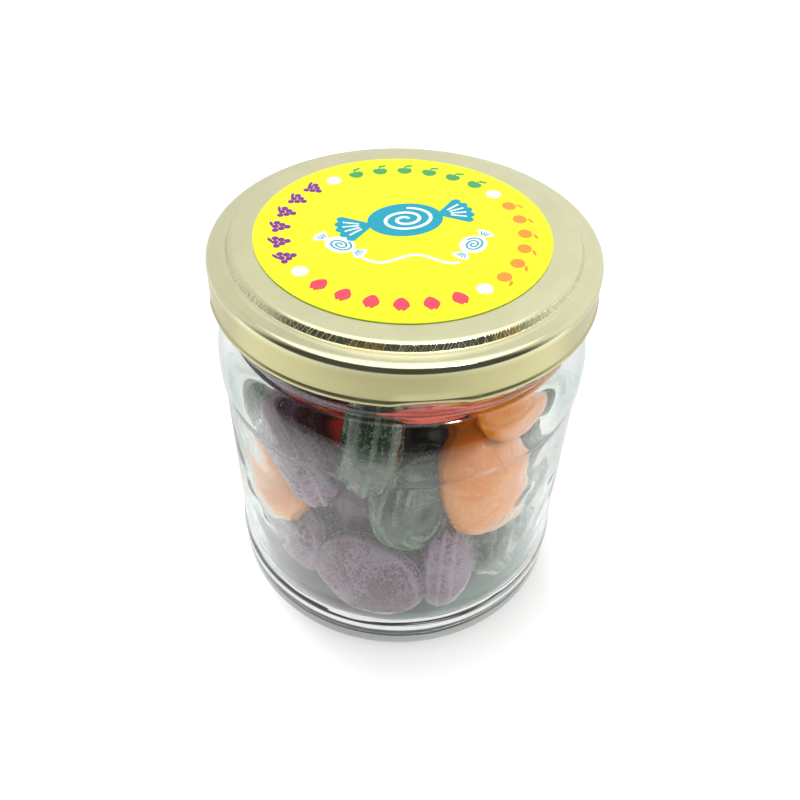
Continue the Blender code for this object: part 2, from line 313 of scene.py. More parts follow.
def make_sugar(name, deep, bright, dust, reach, dusting, crumb):
    """Translucent boiled sugar with a dusting that clings to the ridges and wears off the hollows."""
    material, tree, shader = finish(
        name,
        Subsurface_Weight=1.0,
        Subsurface_Scale=0.004,
        Subsurface_Radius=reach,
        IOR=1.5,
        Coat_Roughness=0.05,
    )
    where = place(tree)
    parts = split_up(where)
    raised = add(tree, "ShaderNodeAttribute", attribute_name="raised").outputs["Fac"]
    batch = add(tree, "ShaderNodeAttribute", attribute_name="batch").outputs["Fac"]
    cloud = noise(where, 0.10, 2.0, 0.5)
    sugar = blend(plus(times(cloud, 0.6), times(batch, 0.4)), deep, bright)

    # The dusting: in patches, mottled, and thicker on the relief.
    patches = noise(where, 0.17, 3.0, 0.55)
    mottle = noise(where, 1.5, 2.0, 0.6)
    speckle = noise(where, 2.6, 3.0, 0.75)
    dust_and_shade = patches
    for field, weight in ((mottle, 1.1), (speckle, 1.6), (raised, crumb)):
        dust_and_shade = plus(dust_and_shade, times(minus(field, 0.5), weight))
    dust_and_shade = ramp(dust_and_shade, 0.28, 0.96, 0.0, dusting)
    # Painted shade: less of it deep in the heap, which darkens the sweets there; there is also less of it
    # towards the top.
    shade_deep_in_heap = ramp(from_axis(parts), 12.0, 25.0, 0.2, 1.0)
    dust_and_shade = times(dust_and_shade, times(shade_deep_in_heap, ramp(parts[2], 36.0, 54.0, 1.0, 0.6)))
    clumps = ramp(cells(where, 3.1), 0.30, 0.05, 0.0, 0.5)
    dust_and_shade = calc("MINIMUM", plus(dust_and_shade, times(clumps, dust_and_shade)), 1.0)

    soft = bump(patches, 0.3, 0.0006)
    crumbs = plus(speckle, times(clumps, 0.6))
    wire(
        shader,
        Base_Color=blend(dust_and_shade, sugar, dust),
        Roughness=ramp(dust_and_shade, 0.0, 0.5, 0.14, 0.55),
        Normal=bump(crumbs, 0.4, 0.00022, soft),
        Coat_Weight=ramp(dust_and_shade, 0.30, 0.04, 0.0, 1.0),
        Coat_Normal=bump(plus(patches, times(mottle, 0.35)), 0.35, 0.0006),
    )
    return material


# Meshes.

def in_scene(name, data):
    """A mesh, lamp or camera as an object of the scene."""
    made = bpy.data.objects.new(name, data)
    scene.collection.objects.link(made)
    return made


def as_mesh(name, shell):
    mesh = bpy.data.meshes.new(name)
    shell.to_mesh(mesh)
    shell.free()
    return mesh


def arc(centre, radius, first, last, steps):
    """Points (r, z) of a round stretch, from one angle to another in degrees, both ends included."""
    turns = [math.radians(first + (last - first) * step / steps) for step in range(steps + 1)]
    return [(centre[0] + radius * math.cos(turn), centre[1] + radius * math.sin(turn)) for turn in turns]


def eased(points, reach=0.5, steps=4):
    """The same outline (r, z) with its sharper corners rounded over at most reach millimetres."""
    made = [points[0]]
    for before, corner, after in zip(points, points[1:], points[2:]):
        corner_at = np.array(corner)
        back, on = np.array(before) - corner_at, np.array(after) - corner_at
        back_long, on_long = np.linalg.norm(back), np.linalg.norm(on)
        if -np.dot(back, on) > math.cos(math.radians(SLIGHT_BEND)) * back_long * on_long:
            made.append(corner)
            continue
        near = min(reach, 0.45 * back_long, 0.45 * on_long)
        start, end = corner_at + back / back_long * near, corner_at + on / on_long * near
        for step in range(steps + 1):
            t = step / steps
            spot = start * (1 - t) ** 2 + corner_at * 2 * t * (1 - t) + end * t * t
            made.append((float(spot[0]), float(spot[1])))
    return [*made, points[-1]]


def split(points, longest):
    """The same outline with long stretches cut into short ones."""
    made = [points[0]]
    for before, after in zip(points, points[1:]):
        count = max(1, math.ceil(math.dist(before, after) / longest))
        for step in range(1, count + 1):
            share = step / count
            made.append(tuple(low + (high - low) * share for low, high in zip(before, after)))
    return made


def new_tree(name, **inputs):
    """A Geometry Nodes tree that gives a geometry, with the sockets of its inputs."""
    tree = bpy.data.node_groups.new(name, "GeometryNodeTree")
    tree.interface.new_socket(name="Geometry", in_out="OUTPUT", socket_type="NodeSocketGeometry")
    for key, kind in inputs.items():
        label = key.replace("_", " ")
        tree.interface.new_socket(name=label, in_out="INPUT", socket_type=f"NodeSocket{kind}")
    return tree, add(tree, "NodeGroupInput").outputs


def end_tree(tree, geometry, material):
    """Makes the instances real, gives them their material and closes the tree."""
    real = add(tree, "GeometryNodeRealizeInstances", {"Geometry": geometry})
    coated = add(tree, "GeometryNodeSetMaterial", {"Geometry": real.outputs[0], "Material": material})
    add(tree, "NodeGroupOutput", {0: coated.outputs[0]})
    return tree


def turning_tree():
    """Turns an outline in the XZ plane about +Z. Points marked 'give' wander a little."""
    tree, given = new_tree(
        "turned_round",
        Outline="Geometry",
        Sides="Int",
        Ripple="Float",
        Ripple_Size="Float",
        Finish="Material",
    )
    count = add(tree, "GeometryNodeAttributeDomainSize", {0: given["Outline"]}, component="MESH").outputs[0]
    last = minus(count, 1.0)
    inputs = {"Size X": given["Sides"], "Size Y": last}
    inputs |= {"Vertices X": plus(given["Sides"], 1.0), "Vertices Y": count}
    grid = add(tree, "GeometryNodeMeshGrid", inputs)

    # The grid's columns go round, and its rows go along the outline.
    here = add(tree, "GeometryNodeInputPosition").outputs[0]
    spot = split_up(here)
    column = calc("ROUND", plus(spot[0], calc("DIVIDE", given["Sides"], 2.0)))
    row = calc("ROUND", plus(spot[1], calc("DIVIDE", last, 2.0)))
    whole = add(tree, "FunctionNodeFloatToInt", {0: row}).outputs[0]

    def sampled(value, kind):
        inputs = {"Geometry": given["Outline"], "Value": value, "Index": whole}
        return add(tree, "GeometryNodeSampleIndex", inputs, data_type=kind, domain="POINT").outputs[0]

    at = split_up(sampled(here, "FLOAT_VECTOR"))
    loose = add(tree, "GeometryNodeInputNamedAttribute", {"Name": "give"}, data_type="FLOAT").outputs[0]
    give = sampled(loose, "FLOAT")
    angle = times(calc("DIVIDE", column, given["Sides"]), math.tau)
    cos, sin = calc("COSINE", angle), calc("SINE", angle)

    def turned(radius):
        inputs = {0: times(radius, cos), 1: times(radius, sin), 2: at[2]}
        return add(tree, "ShaderNodeCombineXYZ", inputs).outputs[0]

    inputs = {"Vector": turned(at[0]), "Scale": given["Ripple Size"], "Detail": 1.0}
    field = add(tree, "ShaderNodeTexNoise", inputs).outputs[0]
    wander = times(times(minus(field, 0.5), given["Ripple"]), give)
    inputs = {"Geometry": grid.outputs[0], "Position": turned(plus(at[0], wander))}
    laid = add(tree, "GeometryNodeSetPosition", inputs)
    inputs = {"Geometry": laid.outputs[0], "Distance": 0.000002}
    merged = add(tree, "GeometryNodeMergeByDistance", inputs)
    rounded = add(tree, "GeometryNodeSetShadeSmooth", {"Geometry": merged.outputs[0]})
    return end_tree(tree, rounded.outputs[0], given["Finish"])


def run_tree(name, tree, carrier, **values):
    """The plain mesh object that a tree makes from a carrier object, which is then removed."""
    modifier = carrier.modifiers.new("make", "NODES")
    modifier.node_group = tree
    names = {item.name: item.identifier for item in tree.interface.items_tree if item.in_out == "INPUT"}
    for key, value in values.items():
        modifier[names[key.replace("_", " ")]] = value
    bpy.context.view_layer.update()
    mesh = bpy.data.meshes.new_from_object(carrier.evaluated_get(bpy.context.evaluated_depsgraph_get()))
    bpy.data.objects.remove(carrier)
    outward_faces(mesh)
    mesh.name = name
    return in_scene(name, mesh)


def outward_faces(mesh):
    shell = bmesh.new()
    shell.from_mesh(mesh)
    bmesh.ops.dissolve_degenerate(shell, edges=shell.edges, dist=0.0000005)
    bmesh.ops.recalc_face_normals(shell, faces=shell.faces)
    shell.to_mesh(mesh)
    shell.free()


def outline_carrier(points, give=None):
    """A chain of edges in the XZ plane that holds a turned outline."""
    mesh = bpy.data.meshes.new("outline")
    spots = [(r * MM, 0.0, z * MM) for r, z in points]
    mesh.from_pydata(spots, [(i, i + 1) for i in range(len(points) - 1)], [])
    loose = mesh.attributes.new("give", "FLOAT", "POINT")
    loose.data.foreach_set("value", [0.0] * len(points) if give is None else give)
    return in_scene("outline", mesh)


def keep(piece, node):
    """Hands a finished piece over to the frame."""
    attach(piece, "root")
    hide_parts(node)
    return piece


# The glass.

def shoulder(neck, wide, low, steps):
    """The stretch (r, z) that curves from the neck out to the wall, from its top down."""
    rise = SHOULDER_HIGH - SHOULDER_LOW
    turns = [math.radians(12 + 78 * step / steps) for step in range(steps + 1)]
    return [(neck + (wide - neck) * math.sin(turn), low + rise * math.cos(turn)) for turn in turns]


def make_jar(turning, glass):
    panel = JAR_RADIUS - PANEL_INSET
    outside = [
        (NECK_RADIUS - 0.9, RIM),
        (NECK_RADIUS - 0.1, RIM - 0.8),
        (NECK_RADIUS, BEAD_MIDDLE + 2.0),
        *arc((BEAD_RADIUS - 1.1, BEAD_MIDDLE), 1.1, 65, -65, 10),
        (NECK_RADIUS, SHOULDER_HIGH + 0.6),
        *shoulder(NECK_RADIUS, JAR_RADIUS, SHOULDER_LOW, 16),
        (JAR_RADIUS, PANEL_HIGH + 1.2),
        (panel, PANEL_HIGH - 0.4),
        (panel, PANEL_LOW + 0.6),
        (JAR_RADIUS, PANEL_LOW - 1.0),
        *arc((JAR_RADIUS - HEEL_RADIUS, HEEL_RADIUS), HEEL_RADIUS, 0, -75, 14),
        (FOOT_RADIUS, 0.0),
        (FOOT_RADIUS - FOOT_WIDTH, 0.0),
        (FOOT_RADIUS - FOOT_WIDTH - 2.0, PUNT * 0.75),
        (0.0, PUNT),
    ]
    bore = panel - WALL
    neck = NECK_RADIUS - NECK_WALL
    inside = [
        (0.0, FLOOR + FLOOR_RISE),
        (bore * 0.5, FLOOR + FLOOR_RISE / 2.0),
        *arc((bore - INNER_CORNER, FLOOR + INNER_CORNER), INNER_CORNER, -90, 0, 14),
        *shoulder(neck, bore, SHOULDER_LOW - INNER_DROP, 16)[::-1],
        (neck, BEAD_MIDDLE),
        (neck, RIM - 0.7),
        (neck + 0.6, RIM),
    ]
    outer = split(eased(outside, 0.9), 1.6)
    inner = split(eased(inside, 1.2), 1.6)
    points = [*outer, *inner, outer[0]]
    # Only the inside wanders, and neither at its floor nor at its rim.
    give = [0.0] * len(outer) + [1.0 if 8.0 < z < 70.0 else 0.0 for _, z in inner] + [0.0]
    jar = run_tree(
        "glass_jar_clear",
        turning,
        outline_carrier(points, give),
        Sides=JAR_SIDES,
        Ripple=GLASS_RIPPLE * MM,
        Ripple_Size=RIPPLE_SCALE,
        Finish=glass,
    )
    return keep(jar, "glass_jar")


# The lid.

def make_lid(turning, gold):
    ring = LID_TOP - LID_STEP
    under = ring - LID_THICKNESS
    skirt = LID_RADIUS - LID_THICKNESS
    outside = [
        (0.0, LID_TOP),
        (LID_PANEL_RADIUS - 0.3, LID_TOP),
        (LID_PANEL_RADIUS + 0.15, LID_TOP - 0.2),
        (LID_PANEL_RADIUS + 0.75, ring + 0.16),
        (LID_PANEL_RADIUS + 1.10, ring + 0.18),
        (LID_PANEL_RADIUS + 2.10, ring + 0.05),
        *arc((LID_RADIUS - LID_BEND, ring - LID_BEND), LID_BEND, 78, 0, 16),
        *arc((LID_RADIUS + CURL_PROUD - CURL, LID_SKIRT_LOW + CURL), CURL, 50, -190, 24),
    ]
    inside = [
        (skirt, LID_SKIRT_LOW + 2.2 * CURL),
        (skirt, ring - 1.3),
        (skirt - 0.8, ring - 0.1 - LID_THICKNESS * 0.4),
        (LID_PANEL_RADIUS + 0.7, under),
        (LID_PANEL_RADIUS - 0.6, LID_TOP - LID_THICKNESS),
        (0.0, LID_TOP - LID_THICKNESS),
    ]
    points = split([*eased(outside, 0.55, 5), *inside], 1.0)
    carrier = outline_carrier(points)
    lid = run_tree("lid_gold", turning, carrier, Sides=LID_SIDES, Ripple=0.0, Ripple_Size=1.0, Finish=gold)
    spots = np.zeros(len(lid.data.vertices) * 3)
    lid.data.vertices.foreach_get("co", spots)
    spots = spots.reshape(-1, 3)
    height = spots[:, 2] / MM - LID_SKIRT_LOW
    spacing = 360.0 / LUGS
    azimuth = np.degrees(np.arctan2(spots[:, 0], -spots[:, 1])) - LUG_FRONT
    from_lug = (azimuth + spacing / 2.0) % spacing - spacing / 2.0
    share = np.cos(np.radians(np.clip(90.0 * from_lug / LUG_HALF_ANGLE, -90, 90))) ** 0.7
    depth = LUG_DEPTH * share * np.clip(1.0 - height / (2.5 * CURL), 0.0, 1.0)
    radius = np.hypot(spots[:, 0], spots[:, 1])
    spots[:, :2] *= (1.0 - depth * MM / np.maximum(radius, MM))[:, None]
    lid.data.vertices.foreach_set("co", spots.ravel())
    lid.data.update()
    return keep(lid, "lid")


# The label: flat ink shapes a little proud of a paper disc.

def prism(shell, outline, low, high, material_index):
    """A closed flat shape with straight sides from its outline (x, y) in millimetres."""
    top = [shell.verts.new((x * MM, y * MM, high * MM)) for x, y in outline]
    bottom = [shell.verts.new((x * MM, y * MM, low * MM)) for x, y in outline]
    faces = [shell.faces.new(top), shell.faces.new(bottom[::-1])]
    for i in range(len(outline)):
        j = (i + 1) % len(outline)
        faces.append(shell.faces.new((top[j], top[i], bottom[i], bottom[j])))
    for face in faces:
        face.material_index = material_index


def moved(outline, centre, turn=0.0, size=1.0):
    c, s = math.cos(math.radians(turn)) * size, math.sin(math.radians(turn)) * size
    return [(centre[0] + x * c - y * s, centre[1] + x * s + y * c) for x, y in outline]


def oval(half_long, half_wide, steps=48, first=0.0, last=360.0):
    turns = [math.radians(first + (last - first) * step / steps) for step in range(steps)]
    return [(half_long * math.cos(turn), half_wide * math.sin(turn)) for turn in turns]


def stroke(points, width):
    """The outline of a line drawn with a round pen."""
    spots = np.array(points, float)
    along = np.gradient(spots, axis=0)
    along /= np.linalg.norm(along, axis=1, keepdims=True)
    aside = np.column_stack((-along[:, 1], along[:, 0])) * width / 2.0

    def cap(middle, way):
        first = math.atan2(way[1], way[0])
        turns = [first - math.pi * k / 6.0 for k in range(1, 6)]
        half = width / 2.0
        return [(middle[0] + half * math.cos(turn), middle[1] + half * math.sin(turn)) for turn in turns]

    left = [tuple(spot) for spot in spots + aside]
    right = [tuple(spot) for spot in spots - aside]
    return left + cap(spots[-1], aside[-1]) + right[::-1] + cap(spots[0], -aside[0])


def fan(reach, half_angle, knot, scallops):
    """The spread end of a twisted wrapper, with a scalloped edge, pointing along +x from its knot."""
    edge = []
    for step in range(scallops * 8 + 1):
        share = step / (scallops * 8)
        turn = math.radians(half_angle * (1.0 - 2.0 * share))
        out = reach * (0.93 + 0.11 * abs(math.sin(math.pi * scallops * share)))
        edge.append((out * math.cos(turn), out * math.sin(turn)))
    return [(0.0, -knot), *edge[::-1], (0.0, knot)]


def swirl(half_wide, width, turns):
    """A spiral line from near the middle of an oval out to its edge."""
    steps = int(26 * turns)
    points = []
    for step in range(steps + 1):
        share = step / steps
        turn = math.tau * turns * share + 0.6
        reach = half_wide * (0.12 + 0.70 * share)
        points.append((1.18 * reach * math.cos(turn), 0.86 * reach * math.sin(turn)))
    return stroke(points, width)


def wrapped_sweet(shell, middle, tilt, long, wide, heights, body, line, pen):
    """A twisted-wrapper sweet: an oval with a spiral, and two pleated fans."""
    start, low, high = heights
    prism(shell, moved(oval(long, wide), middle, tilt), start, low, body)
    prism(shell, moved(swirl(wide, pen, 2.1), middle, tilt), start, high, line)
    for side in (0.0, 180.0):
        way = math.radians(tilt + side)
        foot = (middle[0] + 0.97 * long * math.cos(way), middle[1] + 0.97 * long * math.sin(way))
        spread = moved(fan(0.86 * long, 46.0, 0.14 * wide, 5), foot, tilt + side)
        prism(shell, spread, start, low + 0.004, body)
        for lean in (-27.0, -9.0, 9.0, 27.0):
            fold = [(0.86 * long * share, 0.0) for share in (0.34, 0.5, 0.66, 0.78)]
            pleat = moved(stroke(fold, 0.6 * pen), foot, tilt + side + lean)
            prism(shell, pleat, start, high, line)


def ring_tree():
    """Sets copies of a mark round a circle, each turned to face outwards."""
    tree, given = new_tree(
        "marks_in_a_ring",
        Mark="Geometry",
        Count="Int",
        Radius="Float",
        First="Float",
        Step="Float",
        Finish="Material",
    )
    number = add(tree, "GeometryNodeInputIndex").outputs[0]
    turn = minus(given["First"], times(given["Step"], number))
    x = times(given["Radius"], calc("COSINE", turn))
    y = times(given["Radius"], calc("SINE", turn))
    spot = add(tree, "ShaderNodeCombineXYZ", {0: x, 1: y}).outputs[0]
    facing = add(tree, "ShaderNodeCombineXYZ", {2: minus(turn, math.pi / 2.0)}).outputs[0]
    points = add(tree, "GeometryNodePoints", {"Count": given["Count"], "Position": spot}).outputs[0]
    rotation = add(tree, "FunctionNodeEulerToRotation", {0: facing}).outputs[0]
    inputs = {"Points": points, "Instance": given["Mark"], "Rotation": rotation}
    placed = add(tree, "GeometryNodeInstanceOnPoints", inputs).outputs[0]
    return end_tree(tree, placed, given["Finish"])


def closed_curve(shape, step=10):
    """An outline (x, y) from a rule that takes an angle in radians."""
    return [shape(math.radians(angle)) for angle in range(0, 360, step)]


def mark_ring(name, tree, shapes, heights, ink, count, first, step):
    """One ring, or part of a ring, of small printed marks."""
    shell = bmesh.new()
    for layer, shape in enumerate(shapes):
        prism(shell, shape, heights[0], heights[1] + 0.003 * layer, 0)
    piece = run_tree(
        name,
        tree,
        in_scene("mark", as_mesh("mark", shell)),
        Count=count,
        Radius=MARK_CIRCLE * MM,
        First=math.radians(first),
        Step=math.radians(step),
        Finish=ink,
    )
    piece.data.transform(Matrix.Translation((LABEL_SHIFT * MM, 0.0, 0.0)))
    return keep(piece, "label")


def make_label(ring):
    yellow = make_ink("lime_paper", (0.73, 0.86, 0.011))
    teal = make_ink("teal_ink", (0.004, 0.30, 0.41))
    white = make_ink("white_ink", (0.86, 0.87, 0.83))
    shell = bmesh.new()
    low, paper, ink = LID_TOP + 0.02, LID_TOP + 0.20, LID_TOP + 0.225

    # The paper, with a cut edge that is barely rounded.
    rings = [(LABEL_RADIUS, low), (LABEL_RADIUS, paper - 0.06), (LABEL_RADIUS - 0.06, paper)]
    edge = 180
    circles = [[shell.verts.new((x * MM, y * MM, z * MM)) for x, y in oval(r, r, edge)] for r, z in rings]
    shell.faces.new(circles[-1])
    shell.faces.new(circles[0][::-1])
    for lower, upper in zip(circles, circles[1:]):
        for i in range(edge):
            j = (i + 1) % edge
            shell.faces.new((lower[i], lower[j], upper[j], upper[i]))

    # One large wrapped sweet in teal, two small ones in white, and a loose wave below.
    start = paper - 0.05
    heights = (start, ink, ink + 0.012)
    wrapped_sweet(shell, (0.3, 3.4), 20.0, 6.6, 5.1, heights, 1, 2, 0.62)
    wrapped_sweet(shell, (-10.2, -5.0), -34.0, 2.7, 2.2, heights, 2, 1, 0.34)
    wrapped_sweet(shell, (11.6, -3.6), 58.0, 2.7, 2.2, heights, 2, 1, 0.34)
    along = np.linspace(-6.6, 9.0, 44)
    wave = [(x, -8.6 + 1.3 * math.sin(x * 0.52 + 0.4) + 0.010 * x * x) for x in along]
    prism(shell, stroke(wave, 0.62), start, ink + 0.012, 2)

    mesh = as_mesh("label_printed", shell)
    outward_faces(mesh)
    mesh.transform(Matrix.Translation((LABEL_SHIFT * MM, 0.0, 0.0)))
    for material in (yellow, teal, white):
        mesh.materials.append(material)
    keep(in_scene("label_printed", mesh), "label")

    # Small fruit round the edge in four colours, with a white dot between each two groups.
    def leaf_edge(turn):
        return 0.75 + 0.75 * math.cos(turn), 1.72 + 0.30 * math.sin(turn) + 0.25 * math.cos(turn)

    def apple_edge(turn):
        from_top = (turn + math.pi) % math.tau - math.pi
        dip = 0.34 * math.exp(-((from_top / 0.5) ** 2))
        return 1.32 * math.sin(turn) * (1.0 + 0.10 * math.cos(turn)), 1.2 * math.cos(turn) - dip

    def berry_edge(turn):
        return 1.22 * math.sin(turn) * (1.0 + 0.35 * math.cos(turn)), 1.42 * math.cos(turn) - 0.15

    leaf = closed_curve(leaf_edge, 20)
    stalk = stroke([(0.0, 0.8), (0.05, 1.3), (0.25, 1.85)], 0.28)
    apple, berry = closed_curve(apple_edge), closed_curve(berry_edge)
    crown = [(-0.9, 1.15), (-0.35, 1.75), (0.0, 1.35), (0.35, 1.75), (0.9, 1.15), (0.0, 0.75)]
    grapes = [
        moved(oval(0.56, 0.56, 18), spot)
        for spot in ((-1.15, 0.85), (0.0, 0.95), (1.15, 0.85), (-0.58, -0.1), (0.58, -0.1), (0.0, -1.05))
    ]
    marks = (
        ("label_apples", (apple, leaf, stalk), (0.06, 0.31, 0.09)),
        ("label_mandarins", (oval(1.32, 1.2, 30), leaf), (0.80, 0.27, 0.03)),
        ("label_strawberries", (berry, crown), (0.72, 0.06, 0.10)),
        ("label_grapes", (*grapes, leaf), (0.20, 0.02, 0.25)),
    )
    for group, (name, shapes, colour) in enumerate(marks):
        ink_finish = make_ink(name.replace("label", "ink"), colour)
        mark_ring(name, ring, shapes, (start, ink), ink_finish, 6, 116.0 - 90.0 * group, 12.8)
    mark_ring("label_dots", ring, (oval(1.35, 1.35, 30),), (start, ink), white, 4, 129.0, 90.0)


# The sweets: their sizes, places and the way the heap settles.

FULLNESS = 0.82
SWEET_SIZE = {
    "grape": (11.6, 8.7, 5.6),
    "apple": (11.2, 8.7, 5.9),
    "mandarin": (12.2, 9.9, 6.9),
    "strawberry": (11.0, 8.7, 6.2),
}
# Kind, azimuth, height, distance from the axis, the way its flat face looks (azimuth and elevation),
# spin of its length, and how firmly it holds its place.
FRONT_SWEETS = (
    ("grape", -49, 41.5, 25.4, -66, -18, -28, 0.5),
    ("grape", -14, 14.3, 24.2, -24, 20, -2, 0.5),
    ("apple", 15, 32.8, 20.2, 30, 14, 78, 0.45),
    ("mandarin", 41, 37.0, 24.0, 40, 20, 82, 0.45),
    ("grape", -57, 11.5, 26.5, -61, 12, 4, 0.4),
    ("grape", 25, 15.0, 22.8, 78, 0, 80, 0.2),
    ("apple", 61, 11.5, 25.4, 63, 8, 5, 0.35),
    ("mandarin", -71, 24.0, 24.8, -75, 6, 10, 0.45),
    ("apple", -86, 43.5, 25.0, -88, 0, 78, 0.35),
    ("grape", -30, 23.5, 13.0, -26, 30, 70, 0.2),
    ("apple", -11, 50.5, 21.5, -90, 8, 87, 0.35),
    ("strawberry", -59, 43.0, 12.0, 115, 20, -50, 0.3),
    ("apple", 79, 27.0, 25.2, 80, 5, 15, 0.35),
    ("mandarin", 55, 55.0, 20.8, 60, 10, 30, 0.35),
    ("strawberry", 20, 61.0, 19.8, 18, 55, 2, 0.4),
    ("grape", -40, 62.0, 20.0, -36, 56, 0, 0.25),
)

# The other sweets: rings round the back, each with its height, the azimuth where it starts and its
# count, and a few in the middle.
BACK_RINGS = ((13.0, 112.0, 5), (28.0, 122.0, 4), (43.0, 122.0, 4), (58.0, 126.0, 3))
BACK_DISTANCE = 21.0
MIDDLE_HEIGHTS = (16.0, 38.0, 62.0)
MIDDLE_DISTANCE = 5.0
KIND_ORDER = ("strawberry", "apple", "mandarin", "grape", "mandarin", "strawberry", "grape", "apple")
SEED = 5
SETTLE_STEPS = 300
SINK = 0.02
PROBES = 160
TOUCHING_REACH = 24.0
AIR_UNDER_LID = 2.4
GAP = 0.3
FACET_SAG = 0.06

# Sweets in the depth of the heap, seen only through its gaps, and the number of the first of them.
HIDDEN_FROM = 100
HIDDEN_SWEETS = (
    ("grape", -8, 12.5, 11.0),
    ("apple", 60, 21.0, 9.0),
    ("grape", 180, 14.0, 10.0),
    ("apple", -60, 30.0, 8.0),
    ("strawberry", 150, 31.0, 10.0),
    ("mandarin", -150, 46.0, 10.0),
    ("grape", 90, 48.0, 9.0),
)

# Each kind's sugar: its deep, bright and dusted colours, how far red, green and blue light travel in it,
# how thick the dusting is, and how strongly the relief sorts it.
SUGARS = {
    "grape": ((0.045, 0.003, 0.014), (0.11, 0.012, 0.042), (0.40, 0.30, 0.40), (0.9, 0.25, 0.45), 0.72, 1.0),
    "apple": ((0.006, 0.014, 0.002), (0.018, 0.038, 0.006), (0.27, 0.36, 0.28), (0.45, 0.9, 0.3), 0.62, 1.0),
    "mandarin": ((0.78, 0.21, 0.001), (0.88, 0.34, 0.003), (0.86, 0.56, 0.20), (1.2, 0.6, 0.1), 0.26, 0.3),
    "strawberry": ((0.90, 0.035, 0.006), (0.96, 0.12, 0.02), (0.80, 0.36, 0.30), (1.4, 0.2, 0.12), 0.24, 0.4),
}

# Loose crystals: the most per square metre, their radius, and how near the axis they start.
GRAIN_DENSITY = 2600000.0
GRAIN_RADIUS = 0.12
GRAIN_START = 17.0


def outward(azimuth, elevation=0.0):
    a, e = math.radians(azimuth), math.radians(elevation)
    return np.array((math.sin(a) * math.cos(e), -math.cos(a) * math.cos(e), math.sin(e)))


def turned_axes(face_azimuth, face_elevation, spin):
    """Columns are a sweet's length, width and thickness directions."""
    face = outward(face_azimuth, face_elevation)
    level = outward(face_azimuth + 90.0)
    rise = np.cross(face, level)
    s = math.radians(spin)
    length = level * math.cos(s) + rise * math.sin(s)
    width = rise * math.cos(s) - level * math.sin(s)
    return np.column_stack((length, width, face))


def placed_sweets():
    """(kind, middle, axes, hold) of every sweet, before they settle."""
    draw = random.Random(SEED)
    placed = []

    def loose(azimuth, distance, height, turn):
        kind = KIND_ORDER[len(placed) % len(KIND_ORDER)]
        middle = outward(azimuth) * distance + np.array((0.0, 0.0, height))
        placed.append((kind, middle, turned_axes(*turn), 0.0))

    for height, first, count in BACK_RINGS:
        for spot in range(count):
            azimuth = first + (360.0 - 2.0 * first) * spot / (count - 1)
            turn = (azimuth + draw.uniform(-25, 25), draw.uniform(-15, 45), draw.uniform(0, 180))
            loose(azimuth, BACK_DISTANCE, height, turn)
    for number, height in enumerate(MIDDLE_HEIGHTS):
        turn = (draw.uniform(0, 360), draw.uniform(10, 80), draw.uniform(0, 180))
        loose(160.0 + 137.5 * number, MIDDLE_DISTANCE, height, turn)
    for kind, azimuth, height, distance, face_azimuth, face_elevation, spin, hold in FRONT_SWEETS:
        middle = outward(azimuth) * distance + np.array((0.0, 0.0, height))
        placed.append((kind, middle, turned_axes(face_azimuth, face_elevation, spin), hold))
    return placed


def probe_directions():
    """Points spread over the skin of a sweet, as shares of its half sizes."""
    step = np.arange(PROBES) + 0.5
    z = 1.0 - 2.0 * step / PROBES
    turn = step * math.pi * (3.0 - math.sqrt(5.0))
    r = (1.0 - z * z) ** (0.5 * FULLNESS)
    return np.column_stack((r * np.cos(turn), r * np.sin(turn), z))


def room_radius(height):
    """Radius of the room inside the glass at each height."""
    bore = JAR_RADIUS - PANEL_INSET - WALL
    neck = NECK_RADIUS - NECK_WALL
    rise = SHOULDER_HIGH - SHOULDER_LOW
    low = np.clip((FLOOR + INNER_CORNER + GAP - height) / INNER_CORNER, 0.0, 1.0)
    high = np.clip((height - SHOULDER_LOW + INNER_DROP + GAP) / rise, 0.0, 1.0)
    cut = INNER_CORNER * (1.0 - np.sqrt(1.0 - low * low))
    cut = cut + (bore - neck) * (1.0 - np.sqrt(1.0 - high * high))
    return bore - GAP - FACET_SAG - cut


def contact(point_cloud, middle, inverse):
    """How deep the nearest of some points lies in a sweet, and the way out of it."""
    inside = (point_cloud - middle) @ inverse.T
    span = np.linalg.norm(inside, axis=1)
    nearest = int(span.argmin())
    slope = inverse.T @ (inside[nearest] / max(span[nearest], 0.000001))
    steep = np.linalg.norm(slope)
    return (1.0 - span[nearest]) / steep, slope / steep


def settled(placed):
    """The middles of the sweets after they have been pushed apart and off the glass."""
    start = np.array([middle for _, middle, _, _ in placed])
    middles = start.copy()
    shapes = np.array([axes * np.array(SWEET_SIZE[kind]) for kind, _, axes, _ in placed])
    inverses = np.linalg.inv(shapes)
    hold = np.array([held for _, _, _, held in placed])
    probes = np.einsum("nij,pj->npi", shapes, probe_directions())
    floor = FLOOR + FLOOR_RISE + GAP
    ceiling = LID_TOP - LID_STEP - AIR_UNDER_LID
    for _ in range(SETTLE_STEPS):
        push = np.zeros_like(middles)
        for i, probe in enumerate(probes):
            spans = np.linalg.norm(middles - middles[i], axis=1)
            for j in np.nonzero(spans < TOUCHING_REACH)[0]:
                if j == i:
                    continue
                depth, way = contact(middles[i] + probe, middles[j], inverses[j])
                if depth <= 0.0:
                    continue
                way = 0.6 * way + 0.4 * (middles[i] - middles[j]) / (spans[j] + 0.000001)
                way *= 0.25 * depth / np.linalg.norm(way)
                push[i] += way
                push[j] -= way
        middles = middles + push
        middles += hold[:, None] * (start - middles)
        middles[:, 2] -= SINK * (hold == 0.0)
        points = middles[:, None] + probes
        over = np.max(np.hypot(points[:, :, 0], points[:, :, 1]) - room_radius(points[:, :, 2]), axis=1)
        reach = np.linalg.norm(middles[:, :2], axis=1, keepdims=True) + 0.000001
        middles[:, :2] -= np.maximum(over, 0.0)[:, None] * middles[:, :2] / reach
        middles[:, 2] += np.maximum(floor - points[:, :, 2].min(axis=1), 0.0)
        middles[:, 2] -= np.maximum(points[:, :, 2].max(axis=1) - ceiling, 0.0)
    return middles


# The moulded relief of each kind, in shares of the sweet's half sizes.

